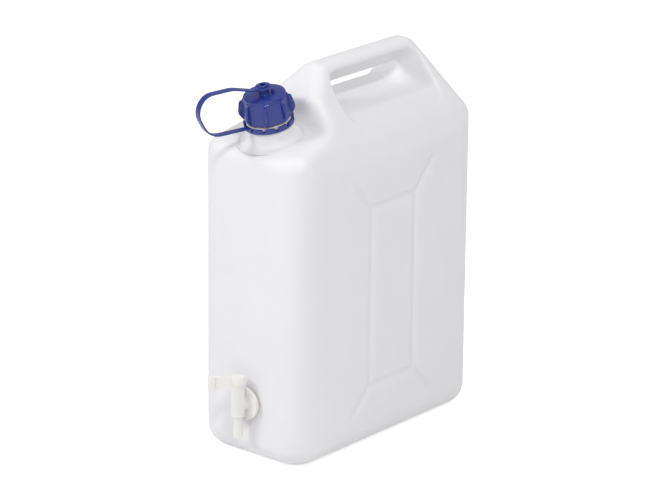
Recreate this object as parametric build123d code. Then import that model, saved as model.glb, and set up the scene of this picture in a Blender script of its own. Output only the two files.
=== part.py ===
from build123d import *
from math import cos, hypot, radians, sin, tan
import os

# Ten litre canister with a draining tap, blow moulded in natural polyethylene.
# Millimetres. The origin is the middle of the base, -Y is the end with the tap, +Z is up.

# Canister: outer sizes
body_length = 270.0
body_width = 132.0
body_height = 373.4
wall = 1.8
corner_radius = 29.5
edge_radius = 16.0
foot_radius = 20.0

# Canister: the broad sides lean in above the break, in two steps that round it off
break_drop = 75.3
break_half_step = 9.0
lean_run_per_rise = 0.735

# Canister: shoulder, rise behind the neck, ramp, grip and back slope
neck_tilt = 14.0
shoulder_drop = 67.8
rise_setback = 61.0
rise_draft = 1.0
rise_root_radius = 8.0
ramp_run_per_rise = 1.155
grip_front_setback = 92.6
grip_rear_setback = 36.5
back_run_per_rise = 0.45

# Hand opening: rim on the leaning sides. Drops run down from the top, setbacks in from the ends
rim_top_drop = 5.4
rim_bottom_drop = 58.2
rim_front_setback = 94.0
rim_rear_setback = 36.5
rim_rear_lean = 7.0
rim_front_low_radius = 24.0
rim_rear_low_radius = 14.0
rim_rear_top_radius = 12.0
rim_front_top_radius = 19.0
rim_overshoot = 1.0

# Hand opening: throat in the middle, between the floor and the tapered grip
throat_front_setback = 99.0
throat_rear_setback = 47.0
throat_half_width = 4.0
throat_low_radius = 15.0
throat_top_radius = 6.0
throat_wall = 2.3
grip_drop = 21.9
floor_drop = 44.4
floor_inset = 26.0
floor_edge_radius = 14.0

# Grooves pressed into both broad sides: a panel outline and a diagonal off each of its corners
groove_width = 8.0
groove_depth = 2.2
groove_middle = 2.4
panel_setback = 102.4
panel_low = 60.8
panel_below_break = 56.9
diagonal_setback = 77.6
diagonal_low = 36.0
diagonal_below_break = 29.0

# Neck: depths run down its own axis from the top of the cap
neck_setback = 34.33
neck_length = 46.0
neck_radius = 19.4
neck_bore_radius = 17.0
bead_radius = 24.0
bead_depth = 27.0
bead_height = 2.3
groove_radius = 22.6
root_radius = 25.5
root_depth = 31.3
root_bore_radius = 22.8
root_bore_depth = 34.0
root_flare = 8.0
flare_sink = 0.3

# Cap
cap_height = 24.5
cap_top_radius = 22.3
cap_flare_radius = 27.4
cap_flat_top = 22.5
cap_flat_rim = 25.7
cap_plate = 2.4
cap_bore_radius = 21.1
cap_mouth_radius = 22.8
cap_mouth_depth = 14.0
lug_count = 8
lug_turn = -5.0
lug_thickness = 3.2
lug_top_radius = 24.2
lug_top_depth = 4.8
lug_tip_radius = 28.7
lug_tip_depth = 18.5
lug_tip_rounding = 2.0
liner_thickness = 1.4
liner_radius = 20.6
liner_gap = 0.1

# Post and nib on the cap
post_radius = 5.2
post_height = 6.2
waist_radius = 4.2
waist_height = 2.2
head_radius = 5.0
head_height = 1.0
post_bore_radius = 2.9
post_bore_depth = 7.0
nib_radius = 1.2
nib_height = 3.6
nib_offset = 8.0
nib_turn = 40.0

# Tether: ring round the neck, strap and eye in one moulding
ring_clearance = 0.4
ring_radius = 28.5
ring_wall = 2.0
ring_web = 1.6
ring_height = 5.0
notch_count = 12
notch_width = 3.4
notch_depth = 3.0
strap_turn = 16.0
strap_width = 6.0
strap_thickness = 1.7
strap_root_reach = 66.0
strap_root_depth = 18.5
strap_loop_reach = 75.5
strap_loop_rise = 12.0
strap_crown_reach = 61.0
strap_crown_rise = 23.2
strap_back_reach = 33.0
strap_back_rise = 18.2
strap_eye_reach = 10.5
strap_root_radius = 22.0
strap_loop_radius = 17.0
strap_crown_radius = 15.0
strap_back_radius = 34.0
strap_eye_radius = 8.0
eye_radius = 7.4
eye_clearance = 0.4
eye_thickness = 1.7

# Tap
tap_height = 57.6
boss_radius = 15.0
boss_length = 12.0
shank_radius = 9.4
shank_length = 17.0
shank_clearance = 0.2
shank_bore_radius = 3.6
gasket_radius = 15.6
gasket_thickness = 2.0
flange_radius = 16.6
flange_thickness = 4.0
stub_radius = 6.4
barrel_offset = 12.5
barrel_radius = 6.6
barrel_bore_radius = 5.3
barrel_rise = 21.0
barrel_drop = 10.0
barrel_floor = 2.0
spout_radius = 4.45
spout_length = 21.3
spout_bore_radius = 3.0
plug_clearance = 0.3
plug_port_radius = 2.8
hub_height = 8.5
lever_turn = 50.0
lever_reach = 29.0
lever_thickness = 3.0
lever_root_height = 8.0
lever_tip_height = 14.8
lever_tip_length = 7.4
lever_tip_width = 5.6
lever_rounding = 1.0

# Places that follow from the sizes above
front = -body_length / 2
rear = body_length / 2
half_width = body_width / 2
break_height = body_height - break_drop
grip_half_width = half_width - break_drop * lean_run_per_rise
shoulder_front_height = body_height - shoulder_drop
rise_front = front + rise_setback
grip_front = front + grip_front_setback
grip_rear = rear - grip_rear_setback
shoulder_rise_per_run = tan(radians(neck_tilt))
shoulder_rear_height = shoulder_front_height + rise_setback * shoulder_rise_per_run
rise_height = body_height - (grip_front - rise_front) / ramp_run_per_rise
back_foot_height = body_height - grip_rear_setback / back_run_per_rise
rim_depth = cap_plate + liner_thickness
eye_rise = post_height + waist_height / 2
barrel_y = front - barrel_offset
strap_turn_from_x = 270 - strap_turn
lever_turn_from_x = 270 - lever_turn

# Frame across the neck: Z runs up its axis and the cap's top is at zero
neck_up = Vector(0, -sin(radians(neck_tilt)), cos(radians(neck_tilt)))
neck_foot = Vector(0, front + neck_setback, shoulder_front_height + neck_setback * shoulder_rise_per_run)
neck_frame = Plane(origin=neck_foot + neck_up * neck_length, x_dir=(1, 0, 0), z_dir=neck_up)
neck_place = neck_frame.location


def turned(*points):
    """Solid of revolution about Z from a half section of radius and height pairs."""
    return revolve(Plane.XZ * make_face(Polyline(*points, close=True)), Axis.Z)


def pin(radius, low, high):
    """Upright cylinder between two heights."""
    return Pos(0, 0, low) * extrude(Circle(radius), amount=high - low)


def flared(radius, *points):
    """Solid of revolution down the neck that spreads onto the shoulder at its foot by the radius."""
    centre = root_radius + root_flare, root_flare + flare_sink - neck_length
    last = points[-1][0]
    outline = Polyline(*points, (last, centre[1]))
    sweep_out = CenterArc(centre, radius, 180, 90)
    floor = Polyline(sweep_out @ 1, (0, (sweep_out @ 1).Y), points[0])
    return revolve(Plane.XZ * make_face(outline + sweep_out + floor), Axis.Z)


def nearest(vertices, x, y):
    """Vertex of a flat outline that lies nearest to a point."""
    return min(vertices, key=lambda v: (v.X - x) ** 2 + (v.Y - y) ** 2)


def blown_shape(depth):
    """Canister without its opening, its surface the given depth inside the outer one."""
    break_half_width = half_width - break_half_step * lean_run_per_rise
    right = [(half_width, 0), (half_width, break_height - break_half_step),
             (break_half_width, break_height + break_half_step), (grip_half_width, body_height)]
    end_view = make_face(Polyline(*right, *[(-x, z) for x, z in reversed(right)], close=True))
    side_view = make_face(Polyline(
        (front, 0), (front, shoulder_front_height), (rise_front, shoulder_rear_height),
        (rise_front + rise_draft, rise_height), (grip_front, body_height), (grip_rear, body_height),
        (rear, back_foot_height), (rear, 0), close=True))
    end_view = offset(end_view, -edge_radius, kind=Kind.INTERSECTION)
    side_view = offset(side_view, -edge_radius, kind=Kind.INTERSECTION)
    root = nearest(side_view.vertices(), rise_front, shoulder_rear_height)
    side_view = fillet([root], edge_radius + rise_root_radius)
    core = extrude(Plane.XZ * end_view, amount=rear - edge_radius, both=True)
    core = core & extrude(Plane.YZ * side_view, amount=half_width, both=True)
    uprights = [e for e in core.edges()
                if abs(abs(e.center().Y) - rear + edge_radius) < 1 and abs((e % 0.5).Z) > 0.99]
    core = fillet(uprights, corner_radius - edge_radius)
    core = fillet(core.edges().group_by(Axis.Z)[0], foot_radius - edge_radius)
    return offset(core.solids()[0], edge_radius - depth, kind=Kind.ARC)


def cornered(*corners):
    """Flat outline from corners of x, y and radius, going round."""
    outline = make_face(Polyline(*[(x, y) for x, y, radius in corners], close=True))
    for x, y, radius in corners:
        if radius:
            outline = fillet([nearest(outline.vertices(), x, y)], radius)
    return outline


def hand_opening(depth):
    """Cutters for the hand opening, larger all round by the wall where the depth is not zero."""
    grow = throat_wall if depth else 0
    lean = hypot(1, lean_run_per_rise)
    side = Plane(
        origin=(half_width + rim_overshoot / lean, 0, break_height + rim_overshoot * lean_run_per_rise / lean),
        x_dir=(0, 1, 0), z_dir=(1, 0, lean_run_per_rise))
    low = (break_drop - rim_bottom_drop) * lean - grow
    high = (break_drop - rim_top_drop) * lean + grow
    rim_front, rim_rear = front + rim_front_setback - grow, rear - rim_rear_setback + grow
    rim = side * cornered(
        (rim_front, low, rim_front_low_radius), (rim_rear, low, rim_rear_low_radius),
        (rim_rear - rim_rear_lean, high, rim_rear_top_radius), (rim_front, high, rim_front_top_radius))
    floor_height = body_height - floor_drop
    base, ceiling = floor_height - grow, body_height - grip_drop + grow
    throat_front, throat_rear = front + throat_front_setback - grow, rear - throat_rear_setback + grow
    throat = Plane.YZ * cornered(
        (throat_front, base, throat_low_radius), (throat_rear, base, throat_low_radius),
        (throat_rear, ceiling, throat_top_radius), (throat_front, ceiling, throat_top_radius))
    flare = loft([Pos(throat_half_width, 0, 0) * throat, rim])
    floor_half_width = half_width - floor_inset
    rim_half_width = half_width - (break_drop - rim_bottom_drop) * lean_run_per_rise
    floor_slope = (rim_bottom_drop - floor_drop) / (rim_half_width - floor_half_width)
    floor_end = floor_height - floor_slope * (body_width - floor_half_width)
    above_floor = cornered(
        (floor_half_width, floor_height, floor_edge_radius), (body_width, floor_end, 0),
        (body_width, body_height, 0), (-body_width, body_height, 0), (-body_width, floor_end, 0),
        (-floor_half_width, floor_height, floor_edge_radius))
    above_floor = offset(above_floor, depth) if depth else above_floor
    above_floor = extrude(Plane.XZ * above_floor, amount=body_length, both=True)
    middle = extrude(throat, amount=throat_half_width, both=True)
    return [middle & above_floor, *both_sides([flare & above_floor])]


def side_grooves(depth):
    """Cutters for the grooves on the +X side, larger by the depth all round."""
    radius = (groove_width ** 2 / 4 + groove_depth ** 2) / (2 * groove_depth)
    x = half_width + radius - groove_depth
    panel_high, diagonal_high = break_height - panel_below_break, break_height - diagonal_below_break
    routes = []
    for side in (-1, 1):
        y_panel = groove_middle + side * (rear - panel_setback)
        y_end = groove_middle + side * (rear - diagonal_setback)
        routes.append(((y_panel, panel_low), (y_panel, panel_high)))
        routes.append(((y_panel, panel_low), (y_end, diagonal_low)))
        routes.append(((y_panel, panel_high), (y_end, diagonal_high)))
    for z in (panel_low, panel_high):
        y_front, y_rear = groove_middle - rear + panel_setback, groove_middle + rear - panel_setback
        routes.append(((y_front, z), (y_rear, z)))
    cutters = []
    for (y1, z1), (y2, z2) in routes:
        start, end = Vector(x, y1, z1), Vector(x, y2, z2)
        run = Plane(origin=start, z_dir=end - start)
        cutters.append(run * extrude(Circle(radius + depth), amount=(end - start).length))
        cutters += [Pos(*start) * Sphere(radius + depth), Pos(*end) * Sphere(radius + depth)]
    return cutters


def both_sides(cutters):
    """The cutters and their mirror images on the other broad side."""
    return cutters + [mirror(c, about=Plane.YZ) for c in cutters]


def along_tap(radius, near, far):
    """Cylinder on the tap's axis between two distances in front of the wall."""
    return Plane((0, front - near, tap_height), z_dir=(0, -1, 0)) * extrude(Circle(radius), amount=far - near)


# Canister body
neck_outside = flared(
    root_flare, (0, -rim_depth), (neck_radius, -rim_depth), (neck_radius, -bead_depth),
    (bead_radius, -bead_depth), (bead_radius, -bead_depth - bead_height),
    (groove_radius, -bead_depth - bead_height), (groove_radius, -root_depth), (root_radius, -root_depth))
neck_inside = flared(
    root_flare + root_radius - root_bore_radius, (0, 0), (neck_bore_radius, 0),
    (neck_bore_radius, -root_bore_depth),
    (root_bore_radius, -root_bore_depth - (root_bore_radius - neck_bore_radius) / 2))
outside = blown_shape(0) - [*hand_opening(0), *both_sides(side_grooves(0))]
inside = blown_shape(wall) - [*hand_opening(wall), *both_sides(side_grooves(wall))]
canister_body = outside + neck_place * neck_outside
canister_body = canister_body - (inside + neck_place * neck_inside)
canister_body = canister_body + along_tap(boss_radius, -boss_length, -wall / 2)
canister_body = canister_body - along_tap(shank_radius + shank_clearance, -boss_length - 1, 1)

# Cap, in the neck's frame
cap_cone = turned((0, 0), (cap_top_radius, 0), (cap_flare_radius, -cap_height), (0, -cap_height))
cap_flats = loft([
    Pos(0, 0, -depth) * Rot(0, 0, lug_turn) * RegularPolygon(flat, lug_count, major_radius=False)
    for depth, flat in ((0, cap_flat_top), (cap_height, cap_flat_rim))])
lug_outline = make_face(Polyline(
    (cap_top_radius - 1, 1.5 - lug_top_depth), (lug_top_radius, -lug_top_depth),
    (lug_tip_radius, -lug_tip_depth), (lug_tip_radius, -cap_height),
    (cap_mouth_radius + 0.5, -cap_height), close=True))
lug_outline = fillet([nearest(lug_outline.vertices(), lug_tip_radius, -lug_tip_depth)], lug_tip_rounding)
lug = extrude(Plane.XZ * lug_outline, amount=lug_thickness / 2, both=True)
cap = cap_cone & cap_flats
for number in range(lug_count):
    cap = cap + Rot(0, 0, lug_turn + number * 360 / lug_count) * lug
cap = cap - turned(
    (0, -cap_plate), (cap_bore_radius, -cap_plate), (cap_bore_radius, -cap_mouth_depth),
    (cap_mouth_radius, -cap_height), (0, -cap_height))
post_top = post_height + waist_height + head_height
cap = cap + turned(
    (0, -cap_plate / 2), (post_radius, -cap_plate / 2), (post_radius, post_height),
    (waist_radius, post_height), (waist_radius, post_height + waist_height),
    (head_radius, post_height + waist_height), (head_radius - head_height / 2, post_top), (0, post_top))
cap = cap - pin(post_bore_radius, post_top - post_bore_depth, post_top)
cap = cap + Rot(0, 0, nib_turn) * Pos(nib_offset, 0, 0) * pin(nib_radius, -cap_plate / 2, nib_height)
cap = neck_place * cap

# Liner
cap_liner = neck_place * pin(liner_radius, -rim_depth, -cap_plate - liner_gap)

# Tether, in the neck's frame, its strap built along +X and then turned to the front
ring_top = ring_height - root_depth
ring_bore = groove_radius + ring_clearance
tether = turned(
    (ring_bore, -root_depth), (ring_radius, -root_depth), (ring_radius, ring_top),
    (ring_radius - ring_wall, ring_top), (ring_radius - ring_wall, ring_web - root_depth),
    (ring_bore, ring_web - root_depth))
for number in range(notch_count):
    notch = Pos(ring_radius, 0, ring_top) * Box(3 * ring_wall, notch_width, 2 * notch_depth)
    tether = tether - Rot(0, 0, (number + 0.5) * 360 / notch_count) * notch
route = Plane.XZ * FilletPolyline(
    (ring_radius - ring_wall / 2, ring_top - strap_thickness / 2), (strap_root_reach, -strap_root_depth),
    (strap_loop_reach, strap_loop_rise), (strap_crown_reach, strap_crown_rise),
    (strap_back_reach, strap_back_rise), (strap_eye_reach, eye_rise), (eye_radius - 1, eye_rise),
    radius=[strap_root_radius, strap_loop_radius, strap_crown_radius, strap_back_radius, strap_eye_radius])
band_section = Plane(origin=route @ 0, x_dir=(0, 1, 0), z_dir=route % 0)
tether = tether + sweep(band_section * Rectangle(strap_width, strap_thickness), path=route)
tether = tether + pin(eye_radius, eye_rise - eye_thickness / 2, eye_rise + eye_thickness / 2)
tether = tether - pin(waist_radius + eye_clearance, post_height, post_height + waist_height)
tether = neck_place * Rot(0, 0, strap_turn_from_x) * tether

# Gasket between the canister and the tap's flange
tap_gasket = along_tap(gasket_radius, 0, gasket_thickness)
tap_gasket = tap_gasket - along_tap(shank_radius + shank_clearance, 0, gasket_thickness)

# Tap body
barrel_top = tap_height + barrel_rise
barrel_foot = tap_height - barrel_drop
spout_end = barrel_foot - spout_length
barrel_place = Pos(0, barrel_y, 0)
tap_body = along_tap(shank_radius, gasket_thickness - shank_length, gasket_thickness)
tap_body = tap_body + along_tap(flange_radius, gasket_thickness, gasket_thickness + flange_thickness)
tap_body = tap_body + along_tap(stub_radius, gasket_thickness, barrel_offset)
tap_body = tap_body + barrel_place * pin(barrel_radius, barrel_foot, barrel_top)
tap_body = tap_body + barrel_place * pin(spout_radius, spout_end, barrel_foot)
tap_body = tap_body - barrel_place * pin(barrel_bore_radius, barrel_foot + barrel_floor, barrel_top)
tap_body = tap_body - barrel_place * pin(spout_bore_radius, spout_end, barrel_top)
tap_body = tap_body - along_tap(shank_bore_radius, gasket_thickness - shank_length, barrel_offset)

# Tap plug: shut as drawn, with its side port across the duct
plug_radius = barrel_bore_radius - plug_clearance
plug_foot = barrel_foot + barrel_floor + plug_clearance
hub_top = barrel_top + hub_height
tip_start = lever_reach - lever_tip_length
tap_plug = pin(plug_radius, plug_foot, barrel_top) + pin(barrel_radius, barrel_top, hub_top)
lever_outline = make_face(Polyline(
    (0, hub_top), (0, hub_top - lever_root_height), (barrel_radius, hub_top - lever_root_height),
    (tip_start, hub_top - lever_tip_height), (lever_reach, hub_top - lever_tip_height),
    (lever_reach, hub_top), close=True))
lever = extrude(Plane.XZ * lever_outline, amount=lever_thickness / 2, both=True)
tip = Pos((tip_start + lever_reach) / 2, 0, hub_top - lever_tip_height / 2) * Box(
    lever_tip_length, lever_tip_width, lever_tip_height)
tip = fillet(tip.edges().filter_by(Axis.Z), lever_rounding)
tap_plug = tap_plug + Rot(0, 0, lever_turn_from_x) * (lever + tip)
tap_plug = tap_plug - pin(plug_port_radius, plug_foot, tap_height)
side_port = Plane((0, 0, tap_height), z_dir=(1, 0, 0)) * extrude(Circle(plug_port_radius), amount=barrel_radius)
tap_plug = barrel_place * (tap_plug - side_port)

# One file for each piece
pieces = {
    "canister_body": canister_body, "cap": cap, "cap_liner": cap_liner, "tether": tether,
    "tap_gasket": tap_gasket, "tap_body": tap_body, "tap_plug": tap_plug}
os.makedirs("parts", exist_ok=True)
for name, piece in pieces.items():
    export_step(piece, "parts/" + name + ".step")
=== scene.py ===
import math

import bmesh
import bpy
from mathutils import Euler, Matrix, Vector


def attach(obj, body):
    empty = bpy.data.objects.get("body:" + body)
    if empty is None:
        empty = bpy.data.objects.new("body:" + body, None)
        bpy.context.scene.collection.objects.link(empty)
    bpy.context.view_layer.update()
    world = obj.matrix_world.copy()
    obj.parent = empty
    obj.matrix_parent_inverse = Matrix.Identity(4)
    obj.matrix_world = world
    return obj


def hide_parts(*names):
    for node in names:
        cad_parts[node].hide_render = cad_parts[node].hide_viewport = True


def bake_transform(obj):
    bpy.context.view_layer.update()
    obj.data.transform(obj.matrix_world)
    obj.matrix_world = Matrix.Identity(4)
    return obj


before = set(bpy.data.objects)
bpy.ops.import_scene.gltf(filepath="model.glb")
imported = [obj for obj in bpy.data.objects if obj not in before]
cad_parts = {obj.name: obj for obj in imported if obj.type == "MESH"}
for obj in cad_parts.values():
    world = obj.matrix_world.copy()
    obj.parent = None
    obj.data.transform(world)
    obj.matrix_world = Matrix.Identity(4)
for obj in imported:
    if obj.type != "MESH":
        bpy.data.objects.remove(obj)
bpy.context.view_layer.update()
mm = 0.001


# Small helpers

def shaderNode(tree, kind, **values):
    node = tree.nodes.new(kind)
    for name, value in values.items():
        if name in node.inputs:
            node.inputs[name].default_value = value
        else:
            setattr(node, name, value)
    return node


def finishPiece(shape, name, body, material, smoothAngle):
    mesh = bpy.data.meshes.new(name)
    shape.to_mesh(mesh)
    shape.free()
    piece = bpy.data.objects.new(name, mesh)
    bpy.context.scene.collection.objects.link(piece)
    mesh.materials.append(material)
    mesh.shade_smooth()
    mesh.set_sharp_from_angle(angle=math.radians(smoothAngle))
    if body:
        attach(piece, body)
    return piece


# A solid's own mesh, with its doubled points merged and its flat faces joined up
def mergedCopy(node, flatAngle=0.6, mergeDistance=0.004):
    shape = bmesh.new()
    shape.from_mesh(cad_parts[node].data)
    bmesh.ops.remove_doubles(shape, verts=shape.verts, dist=mergeDistance * mm)
    bmesh.ops.dissolve_degenerate(shape, edges=shape.edges, dist=mergeDistance * mm)
    if flatAngle:
        bmesh.ops.dissolve_limit(
            shape, angle_limit=math.radians(flatAngle), verts=shape.verts, edges=shape.edges)
    return shape


# Turns an outline of radius and depth pairs round the Z axis, then puts it in its place
def spunShape(outline, steps, place, mergeDistance=0.002):
    shape = bmesh.new()
    points = [shape.verts.new(Vector((radius, 0, -depth)) * mm) for radius, depth in outline]
    for start, end in zip(points, points[1:]):
        shape.edges.new((start, end))
    bmesh.ops.spin(
        shape, geom=shape.verts[:] + shape.edges[:], cent=(0, 0, 0), axis=(0, 0, 1),
        angle=math.tau, steps=steps, use_merge=True)
    bmesh.ops.remove_doubles(shape, verts=shape.verts, dist=mergeDistance * mm)
    bmesh.ops.recalc_face_normals(shape, faces=shape.faces)
    bmesh.ops.transform(shape, matrix=place, verts=shape.verts)
    return shape


def smoothVerts(shape, verts, passes, factor=0.5):
    for step in range(passes):
        bmesh.ops.smooth_vert(
            shape, verts=verts, factor=factor, use_axis_x=True, use_axis_y=True, use_axis_z=True)


def openEdges(shape):
    return [edge for edge in shape.edges if edge.is_boundary]


def aboutZ(degrees):
    return Matrix.Rotation(math.radians(degrees), 4, "Z")


def softenEdges(piece, width, angle, segments):
    bevel = piece.modifiers.new("softEdges", "BEVEL")
    bevel.width = width * mm
    bevel.segments = segments
    bevel.limit_method = "ANGLE"
    bevel.angle_limit = math.radians(angle)


# Materials: one moulded finish, with a cloudy tint and a fine grain, set for each plastic

moulding = dict(
    cloudScale=26.0, cloudDetail=3.0, cloudRoughness=0.55, grainDetail=4.0, grainRoughness=0.6,
    reliefStrength=0.35, smootherBy=0.05, rougherBy=0.07, refraction=1.5, scatter=(1.0, 0.95, 0.9))


def mouldedPlastic(name, look):
    material = bpy.data.materials.new(name)
    material.use_nodes = True
    tree = material.node_tree
    surface = tree.nodes["Principled BSDF"]
    surface.inputs["IOR"].default_value = moulding["refraction"]
    surface.inputs["Specular IOR Level"].default_value = look["gloss"]
    surface.inputs["Subsurface Weight"].default_value = look["translucent"]
    surface.inputs["Subsurface Radius"].default_value = moulding["scatter"]
    surface.inputs["Subsurface Scale"].default_value = look["reach"] * mm
    place = shaderNode(tree, "ShaderNodeTexCoord")
    cloud = shaderNode(
        tree, "ShaderNodeTexNoise", Scale=moulding["cloudScale"], Detail=moulding["cloudDetail"],
        Roughness=moulding["cloudRoughness"])
    tint = shaderNode(
        tree, "ShaderNodeMix", data_type="RGBA", A=(*look["colour"], 1), B=(*look["shade"], 1))
    grain = shaderNode(
        tree, "ShaderNodeTexNoise", Scale=look["grain"], Detail=moulding["grainDetail"],
        Roughness=moulding["grainRoughness"])
    relief = shaderNode(
        tree, "ShaderNodeBump", Strength=moulding["reliefStrength"], Distance=look["grainDepth"] * mm)
    roughness = shaderNode(tree, "ShaderNodeMapRange")
    roughness.inputs["To Min"].default_value = look["rough"] - moulding["smootherBy"]
    roughness.inputs["To Max"].default_value = look["rough"] + moulding["rougherBy"]
    for source, target in [
            (place.outputs["Object"], cloud.inputs["Vector"]),
            (place.outputs["Object"], grain.inputs["Vector"]),
            (cloud.outputs["Fac"], tint.inputs["Factor"]),
            (tint.outputs["Result"], surface.inputs["Base Color"]),
            (grain.outputs["Fac"], relief.inputs["Height"]),
            (relief.outputs["Normal"], surface.inputs["Normal"]),
            (grain.outputs["Fac"], roughness.inputs["Value"]),
            (roughness.outputs["Result"], surface.inputs["Roughness"])]:
        tree.links.new(source, target)
    return material


naturalPolyethylene = mouldedPlastic("natural polyethylene", dict(
    colour=(0.87, 0.865, 0.885), shade=(0.83, 0.82, 0.84), rough=0.42, gloss=0.35,
    grain=1400.0, grainDepth=0.05, translucent=0.5, reach=6.0))
bluePlastic = mouldedPlastic("blue plastic", dict(
    colour=(0.018, 0.038, 0.27), shade=(0.015, 0.031, 0.22), rough=0.3, gloss=0.5,
    grain=1800.0, grainDepth=0.02, translucent=0.0, reach=6.0))
tapPlastic = mouldedPlastic("tap plastic", dict(
    colour=(0.87, 0.855, 0.83), shade=(0.84, 0.82, 0.79), rough=0.36, gloss=0.5,
    grain=1500.0, grainDepth=0.02, translucent=0.4, reach=3.0))
linerFoam = mouldedPlastic("liner foam", dict(
    colour=(0.80, 0.80, 0.77), shade=(0.74, 0.74, 0.71), rough=0.75, gloss=0.5,
    grain=2600.0, grainDepth=0.08, translucent=0.0, reach=6.0))
gasketRubber = mouldedPlastic("gasket rubber", dict(
    colour=(0.55, 0.53, 0.50), shade=(0.49, 0.47, 0.44), rough=0.6, gloss=0.5,
    grain=2200.0, grainDepth=0.05, translucent=0.0, reach=6.0))
print("materials ready")


# Neck: its axis leans forward, and depths run down it in mm from the top of the cap

neck = dict(
    top=(0, -111.8, 358.8), tilt=14, rimDepth=3.8, rimRound=0.7, radius=17.4, bore=15.2,
    beadRadius=21.4, beadDepth=26.2, beadHeight=2.6, beadRound=0.5, grooveRadius=19.6,
    rootDepth=31.3, rootRadius=22.6, rootRound=0.4, rootBore=20.4, rootBoreDepth=34.0, boreCone=2.9,
    flareDepth=33.8, flare=12.7, flareStep=0.1, flareAngles=(0, 15, 30, 45, 60, 75, 86),
    footBelowFlare=7, steps=96, smoothAngle=35)
neckPlace = (Matrix.Translation(Vector(neck["top"]) * mm)
             @ Matrix.Rotation(math.radians(neck["tilt"]), 4, "X"))
fromNeck = neckPlace.inverted()


def neckRadiusAndDepth(point):
    local = fromNeck @ point
    return math.hypot(local.x, local.y) / mm, -local.z / mm


# Canister shell: the solid's outside, evenly meshed and eased as a blown wall is
# The barrier at the neck and the one at the tap's hole keep the search off the inside

shell = dict(
    neckKeepDepth=45.2, neckReach=36.0,  # where the neck's own piece takes over
    tapHeight=57.6, holeRadius=11.5, frontEnd=-100.0,  # the tap's hole in the front end
    voxel=1.9, evenPasses=1, smoothAngle=60,
    rimPasses=3, rimAngle=24, rimReach=1, rimAbove=305.0,  # edges of the hand opening
    boreCut=21.5, boreCutFrom=30, boreCutTo=52)  # opened again under the neck


def isBarrier(face):
    centre = face.calc_center_median()
    radius, depth = neckRadiusAndDepth(centre)
    inNeck = radius < shell["neckReach"] and depth < shell["neckKeepDepth"]
    fromTap = math.hypot(centre.x, centre.z - shell["tapHeight"] * mm)
    onTap = fromTap < shell["holeRadius"] * mm and centre.y < shell["frontEnd"] * mm
    return inNeck or onTap


def outerFaces(shape):
    start = max(shape.faces, key=lambda face: face.calc_center_median().y)
    seen, frontier = {start}, [start]
    while frontier:
        face = frontier.pop()
        for side in face.edges:
            for other in side.link_faces:
                if other not in seen and not isBarrier(other):
                    seen.add(other)
                    frontier.append(other)
    return seen


def onOpeningRim(edge):
    return (len(edge.link_faces) == 2 and edge.calc_face_angle() > math.radians(shell["rimAngle"])
            and edge.verts[0].co.z > shell["rimAbove"] * mm)


def inNeckBore(face):
    radius, depth = neckRadiusAndDepth(face.calc_center_median())
    return radius < shell["boreCut"] and shell["boreCutFrom"] < depth < shell["boreCutTo"]


canister = mergedCopy("canister_body", flatAngle=0)
outside = outerFaces(canister)
inner = [face for face in canister.faces if face not in outside]
bmesh.ops.delete(canister, geom=inner, context="FACES")
bmesh.ops.holes_fill(canister, edges=openEdges(canister), sides=0)
bmesh.ops.triangulate(canister, faces=[face for face in canister.faces if len(face.verts) > 4])
bmesh.ops.recalc_face_normals(canister, faces=canister.faces)
canisterPiece = finishPiece(
    canister, "canister_shell", "canister", naturalPolyethylene,
    shell["smoothAngle"])
remesh = canisterPiece.modifiers.new("evenMesh", "REMESH")
remesh.mode = "VOXEL"
remesh.voxel_size = shell["voxel"] * mm
bpy.context.view_layer.update()
remeshed = canisterPiece.evaluated_get(bpy.context.evaluated_depsgraph_get())
evenMesh = bpy.data.meshes.new_from_object(remeshed)
canisterPiece.modifiers.clear()

canister = bmesh.new()
canister.from_mesh(evenMesh)
rim = {vert for edge in canister.edges if onOpeningRim(edge) for vert in edge.verts}
for step in range(shell["rimReach"]):
    rim |= {edge.other_vert(vert) for vert in rim for edge in vert.link_edges}
rimVerts = [vert for vert in canister.verts if vert in rim]
smoothVerts(canister, canister.verts, shell["evenPasses"])
smoothVerts(canister, rimVerts, shell["rimPasses"])
bore = [face for face in canister.faces if inNeckBore(face)]
bmesh.ops.delete(canister, geom=bore, context="FACES")
canister.to_mesh(canisterPiece.data)
canister.free()
canisterPiece.data.shade_smooth()
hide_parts("canister_body")
print("canister shell has", len(canisterPiece.data.polygons), "faces")


# Neck finish, with its bead, groove and foot spreading onto the shoulder

rimEdge = neck["rimDepth"] + neck["rimRound"]
beadFoot = neck["beadDepth"] + neck["beadHeight"]
neckOutline = [
    (neck["rootBore"], neck["flareDepth"] + neck["footBelowFlare"]),
    (neck["rootBore"], neck["rootBoreDepth"] + neck["boreCone"]),
    (neck["bore"], neck["rootBoreDepth"]), (neck["bore"], rimEdge),
    (neck["bore"] + neck["rimRound"], neck["rimDepth"]),
    (neck["radius"] - neck["rimRound"], neck["rimDepth"]),
    (neck["radius"], rimEdge), (neck["radius"], neck["beadDepth"]),
    (neck["beadRadius"] - neck["beadRound"], neck["beadDepth"]),
    (neck["beadRadius"], neck["beadDepth"] + neck["beadRound"]), (neck["beadRadius"], beadFoot),
    (neck["grooveRadius"], beadFoot), (neck["grooveRadius"], neck["rootDepth"]),
    (neck["rootRadius"] - neck["rootRound"], neck["rootDepth"]),
    (neck["rootRadius"], neck["rootDepth"] + neck["rootRound"])]
for angle in neck["flareAngles"]:
    turn = math.radians(angle)
    neckOutline.append((
        neck["rootRadius"] + neck["flare"] * (1 - math.cos(turn)) + neck["flareStep"],
        neck["flareDepth"] + neck["flare"] * math.sin(turn)))
neckPiece = finishPiece(
    spunShape(neckOutline, neck["steps"], neckPlace), "canister_neck", "canister",
    naturalPolyethylene, neck["smoothAngle"])
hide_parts("canister_body")

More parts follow.
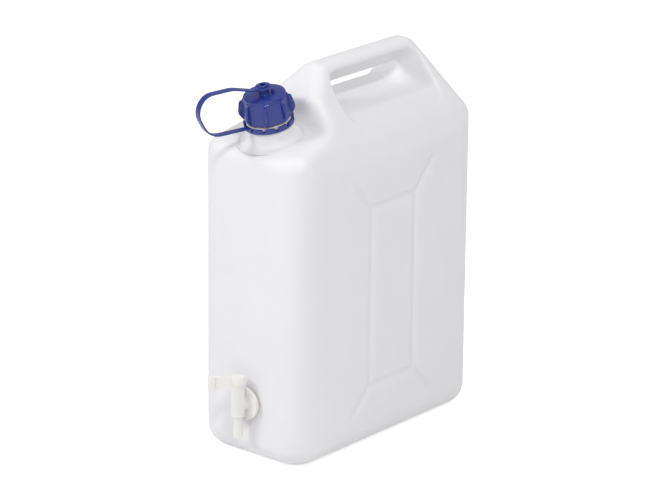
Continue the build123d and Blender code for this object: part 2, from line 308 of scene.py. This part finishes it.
# Thread on the neck: one ridge, spun as it runs down
thread = dict(
    pitch=4.5, turns=2.4, start=8.0, height=1.1, width=2.2, crest=0.9, sink=0.2, steps=48,
    smoothAngle=50)
ridge = [
    (-thread["sink"], -thread["width"] / 2), (thread["height"], -thread["crest"] / 2),
    (thread["height"], thread["crest"] / 2), (-thread["sink"], thread["width"] / 2)]
threadShape = bmesh.new()
section = [
    threadShape.verts.new(Vector((neck["radius"] + out, 0, -thread["start"] + up)) * mm)
    for out, up in ridge]
sides = [threadShape.edges.new(ends) for ends in zip(section, section[1:] + section[:1])]
bmesh.ops.spin(
    threadShape, geom=section + sides, cent=(0, 0, 0), axis=(0, 0, 1),
    dvec=Vector((0, 0, -thread["pitch"] / thread["steps"])) * mm, angle=math.tau * thread["turns"],
    steps=int(thread["steps"] * thread["turns"]), use_merge=False)
bmesh.ops.holes_fill(threadShape, edges=openEdges(threadShape), sides=4)
bmesh.ops.recalc_face_normals(threadShape, faces=threadShape.faces)
bmesh.ops.transform(threadShape, matrix=neckPlace, verts=threadShape.verts)
finishPiece(
    threadShape, "neck_thread", "canister", naturalPolyethylene,
    thread["smoothAngle"])
print("neck ready")


# Cap: a round top over a faceted skirt, with eight wings to grip
# It is shaped upright, with its top at zero, and goes onto the neck as it is finished

cap = dict(
    topRadius=20.4, topRound=1.1, roundShare=0.3, skirtRadius=20.9, height=24.2, plate=2.4,
    bore=18.9, mouth=20.0, mouthHeight=8, sides=8, turn=-5.0, steps=96)
roundInset = cap["topRound"] * cap["roundShare"]
crown = spunShape([
    (0, 0), (cap["topRadius"] - cap["topRound"], 0), (cap["topRadius"] - roundInset, roundInset),
    (cap["topRadius"], cap["topRound"]), (cap["skirtRadius"], cap["height"]),
    (cap["mouth"], cap["height"]), (cap["bore"], cap["height"] - cap["mouthHeight"]),
    (cap["bore"], cap["plate"]), (0, cap["plate"])], cap["steps"], Matrix.Identity(4))

# The skirt's radii are to its flats, and are lengthened here to its corners
facet = dict(top=3.2, inset=0.8, rise=0.9, high=20.5, low=21.7, footRise=0.2, lap=0.1)
toCorner = 1 / math.cos(math.pi / cap["sides"])
skirtFoot = cap["height"] - facet["footRise"]
skirt = spunShape([
    ((cap["topRadius"] - facet["inset"]) * toCorner, facet["top"] - facet["rise"]),
    (facet["high"] * toCorner, facet["top"]), (facet["low"] * toCorner, skirtFoot),
    ((cap["mouth"] - facet["lap"]) * toCorner, skirtFoot)], cap["sides"], aboutZ(cap["turn"]))

wing = dict(thickness=2.9, outline=[
    (19.4, 4.2), (23.6, 4.2), (24.9, 5.4), (26.9, 14.5), (26.6, 18.0), (23.0, 23.9), (20.6, 23.9)])
wings = bmesh.new()
for number in range(cap["sides"]):
    corners = [
        wings.verts.new(Vector((radius, -wing["thickness"] / 2, -depth)) * mm)
        for radius, depth in wing["outline"]]
    swept = bmesh.ops.extrude_face_region(wings, geom=[wings.faces.new(corners)])
    moved = [part for part in swept["geom"] if isinstance(part, bmesh.types.BMVert)]
    bmesh.ops.translate(wings, verts=moved, vec=(0, wing["thickness"] * mm, 0))
    turn = aboutZ(cap["turn"] + number * 360 / cap["sides"])
    bmesh.ops.transform(wings, matrix=turn, verts=corners + moved)
bmesh.ops.recalc_face_normals(wings, faces=wings.faces)

post = dict(
    radius=4.9, height=6.2, waist=4.2, waistHeight=2.2, head=4.9, headHeight=1.1, headRound=0.5,
    hollow=2.6, hollowDepth=6.0, draft=0.2, footHeight=0.6, footSpread=0.9, sink=0.3, steps=48)
headTop = post["height"] + post["waistHeight"] + post["headHeight"]
headFoot = post["headHeight"] - headTop
postShape = spunShape([
    (post["hollow"], post["hollowDepth"] - headTop), (post["hollow"], -headTop),
    (post["head"] - post["headRound"], -headTop), (post["head"], post["headRound"] - headTop),
    (post["head"], headFoot), (post["waist"], headFoot), (post["waist"], -post["height"]),
    (post["radius"], -post["height"]), (post["radius"] + post["draft"], -post["footHeight"]),
    (post["radius"] + post["footSpread"], post["sink"])], post["steps"], Matrix.Identity(4))
hollowFloor = [
    edge for edge in openEdges(postShape) if edge.verts[0].co.xy.length < post["waist"] * mm]
bmesh.ops.holes_fill(postShape, edges=hollowFloor, sides=0)

nib = dict(radius=1.5, footSpread=0.4, height=3.8, sink=0.2, offset=8.6, turn=40.0, steps=24)
nibShape = bmesh.new()
bmesh.ops.create_cone(
    nibShape, cap_ends=True, segments=nib["steps"], radius1=(nib["radius"] + nib["footSpread"]) * mm,
    radius2=nib["radius"] * mm, depth=nib["height"] * mm,
    matrix=aboutZ(nib["turn"])
    @ Matrix.Translation(Vector((nib["offset"], 0, nib["height"] / 2 - nib["sink"])) * mm))

capFinish = dict(smoothAngle=38, segments=3)
capParts = {
    "cap_crown": dict(shape=crown, soft=0.25, angle=30),
    "cap_skirt": dict(shape=skirt, soft=0.5, angle=20),
    "cap_wings": dict(shape=wings, soft=0.55, angle=20),
    "cap_post": dict(shape=postShape, soft=0.2, angle=30),
    "cap_nib": dict(shape=nibShape, soft=0.3, angle=30),
}
for name, part in capParts.items():
    bmesh.ops.transform(part["shape"], matrix=neckPlace, verts=part["shape"].verts)
    piece = finishPiece(
        part["shape"], name, "cap", bluePlastic, capFinish["smoothAngle"])
    softenEdges(piece, part["soft"], part["angle"], capFinish["segments"])
    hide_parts("cap")
print("cap ready")


# Tether: its ring is drawn in to the neck's groove, and the strap's run eases out to its own line
# Less deep than ringFrom, the strap's loop and its eye stay where the solid has them

tether = dict(
    ringRadius=24.0, solidRingRadius=28.5, easeTo=62.0, ringFrom=8, bendFrom=-0.022,
    bendTo=0.005, soft=0.35, softAngle=40, segments=2, smoothAngle=38)
squeeze = tether["ringRadius"] / tether["solidRingRadius"]
tetherShape = mergedCopy("tether")
for vert in tetherShape.verts:
    radius, depth = neckRadiusAndDepth(vert.co)
    if depth > tether["ringFrom"]:
        run = (radius - tether["solidRingRadius"]) / (tether["easeTo"] - tether["solidRingRadius"])
        run = min(1, max(0, run))
        run = run * run * (3 - 2 * run)
        factor = squeeze + (1 - squeeze) * run
        local = fromNeck @ vert.co
        vert.co = neckPlace @ Vector((local.x * factor, local.y * factor, local.z))
piece = finishPiece(
    tetherShape, "tether_strap", None, bluePlastic, tether["smoothAngle"])
softenEdges(piece, tether["soft"], tether["softAngle"], tether["segments"])
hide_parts("tether")
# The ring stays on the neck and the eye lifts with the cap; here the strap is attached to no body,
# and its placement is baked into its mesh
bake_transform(piece)
print("tether ready")


# Tap and gasket: the solids with their edges rounded as moulded ones are

tapFinish = dict(softAngle=40, smoothAngle=38)
tapParts = {
    "tap_body": dict(
        name="tap_housing", body="canister", slot="tap_plastic", material=tapPlastic,
        soft=0.5, segments=3),
    "tap_plug": dict(
        name="tap_lever", body="plug", slot="tap_plastic", material=tapPlastic,
        soft=0.5, segments=3),
    "tap_gasket": dict(
        name="flange_gasket", body="canister", slot="gasket_rubber", material=gasketRubber,
        soft=0.3, segments=2),
}
for node, part in tapParts.items():
    piece = finishPiece(
        mergedCopy(node), part["name"], part["body"], part["material"],
        tapFinish["smoothAngle"])
    softenEdges(piece, part["soft"], tapFinish["softAngle"], part["segments"])
    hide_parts(node)
print("tap ready")


# Liner: a foam disc under the cap's plate

liner = dict(radius=18.6, high=2.5, low=3.8, edgeRound=0.3, steps=64, smoothAngle=35)
linerShape = spunShape([
    (0, liner["high"]), (liner["radius"] - liner["edgeRound"], liner["high"]),
    (liner["radius"], liner["high"] + liner["edgeRound"]), (liner["radius"], liner["low"]),
    (0, liner["low"])], liner["steps"], neckPlace)
piece = finishPiece(
    linerShape, "sealing_liner", "liner", linerFoam, liner["smoothAngle"])
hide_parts("cap_liner")
print("liner ready")


# Floor and room: the camera sees them pale, and the object gets only a plain soft light

# Gives one shader to the named kinds of ray and another to all the rest
def mixByRay(tree, rays, toRays, toOthers, output):
    path = shaderNode(tree, "ShaderNodeLightPath")
    share = path.outputs[rays[0]]
    for ray in rays[1:]:
        larger = shaderNode(tree, "ShaderNodeMath", operation="MAXIMUM")
        tree.links.new(share, larger.inputs[0])
        tree.links.new(path.outputs[ray], larger.inputs[1])
        share = larger.outputs[0]
    mixed = shaderNode(tree, "ShaderNodeMixShader")
    tree.links.new(share, mixed.inputs[0])
    tree.links.new(toOthers.outputs[0], mixed.inputs[1])
    tree.links.new(toRays.outputs[0], mixed.inputs[2])
    tree.links.new(mixed.outputs[0], output.inputs["Surface"])


floor = dict(size=12.0, colour=(0.86, 0.86, 0.86, 1), shown=0.62)
floorShape = bmesh.new()
bmesh.ops.create_grid(floorShape, x_segments=1, y_segments=1, size=floor["size"])
floorMesh = bpy.data.meshes.new("floor")
floorShape.to_mesh(floorMesh)
floorShape.free()
floorPiece = bpy.data.objects.new("floor", floorMesh)
bpy.context.scene.collection.objects.link(floorPiece)
paleFloor = bpy.data.materials.new("pale floor")
paleFloor.use_nodes = True
tree = paleFloor.node_tree
tree.nodes.clear()
matt = shaderNode(tree, "ShaderNodeBsdfDiffuse", Color=floor["colour"])
glow = shaderNode(tree, "ShaderNodeEmission", Color=(1, 1, 1, 1), Strength=floor["shown"])
paler = shaderNode(tree, "ShaderNodeAddShader")
tree.links.new(matt.outputs[0], paler.inputs[0])
tree.links.new(glow.outputs[0], paler.inputs[1])
mixByRay(
    tree, ["Is Camera Ray", "Is Glossy Ray", "Is Transmission Ray"], paler, matt,
    shaderNode(tree, "ShaderNodeOutputMaterial"))
floorMesh.materials.append(paleFloor)

room = dict(light=0.5, background=1.0, colour=(1, 1, 1, 1))
world = bpy.data.worlds.new("studio")
bpy.context.scene.world = world
world.use_nodes = True
tree = world.node_tree
tree.nodes.clear()
light = shaderNode(tree, "ShaderNodeBackground", Color=room["colour"], Strength=room["light"])
white = shaderNode(tree, "ShaderNodeBackground", Color=room["colour"], Strength=room["background"])
mixByRay(tree, ["Is Camera Ray"], white, light, shaderNode(tree, "ShaderNodeOutputWorld"))

lampAim = Vector((0, 0, 0.19))
lamps = {
    "key": dict(place=(-1.1, -1.9, 1.7), size=0.7, power=19.5),
    "side": dict(place=(1.6, -1.2, 2.4), size=0.4, power=29.0),
    "top": dict(place=(0.1, 0.6, 2.2), size=0.9, power=3.0),
}
for name, values in lamps.items():
    lamp = bpy.data.lights.new(name, "AREA")
    lamp.shape = "DISK"
    lamp.size = values["size"]
    lamp.energy = values["power"]
    lampObject = bpy.data.objects.new(name, lamp)
    bpy.context.scene.collection.objects.link(lampObject)
    lampObject.location = values["place"]
    towards = lampAim - Vector(values["place"])
    lampObject.rotation_euler = towards.to_track_quat("-Z", "Y").to_euler()

cameraView = dict(
    place=(2.13428, -2.56669, 1.30943), turn=(71.3291, -0.55895, 40.0189), lens=195.9, sensor=36.0,
    farthest=60)
camera = bpy.data.cameras.new("camera")
camera.lens = cameraView["lens"]
camera.sensor_width = cameraView["sensor"]
camera.clip_end = cameraView["farthest"]
cameraObject = bpy.data.objects.new("camera", camera)
bpy.context.scene.collection.objects.link(cameraObject)
cameraObject.location = cameraView["place"]
cameraObject.rotation_euler = Euler([math.radians(angle) for angle in cameraView["turn"]])
bpy.context.scene.camera = cameraObject
bpy.context.scene.view_settings.view_transform = "Standard"
print("stage ready")
